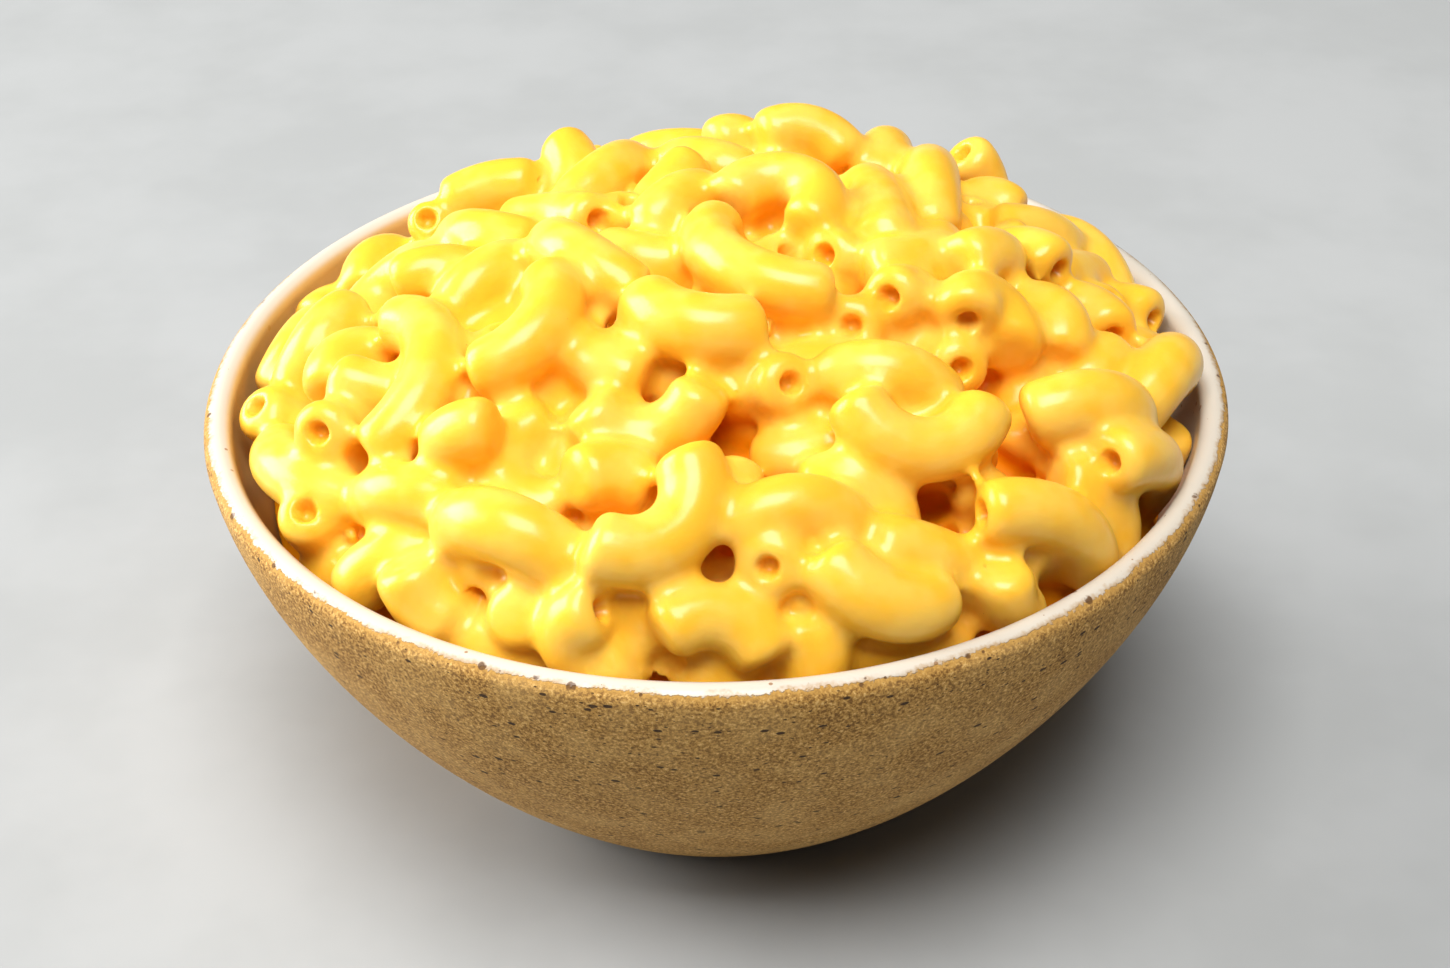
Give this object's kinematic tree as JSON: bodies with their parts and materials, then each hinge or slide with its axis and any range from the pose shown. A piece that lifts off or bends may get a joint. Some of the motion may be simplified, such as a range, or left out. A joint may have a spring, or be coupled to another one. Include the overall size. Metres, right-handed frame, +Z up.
{
  "type": "mac and cheese in its bowl",
  "caption": "Elbow macaroni in smooth cheese sauce, heaped above the rim of a round stoneware bowl with a tapering body and a flat foot.",
  "frame": {"origin": "on the surface that the bowl stands on, under the middle of its foot", "axes": "+Z up; -Y towards the viewer of the picture, +X to the right as the viewer sees it"},
  "size_m": [0.1596, 0.1596, 0.0996],
  "materials": {
    "bowl": "raw speckled sandy stoneware outside, satin off-white glaze inside and over the rim",
    "macaroni_heap": null
  },
  "bodies": {
    "root": {"bowl": "bowl", "macaroni_heap": "macaroni_heap"}
  },
  "joints": []
}
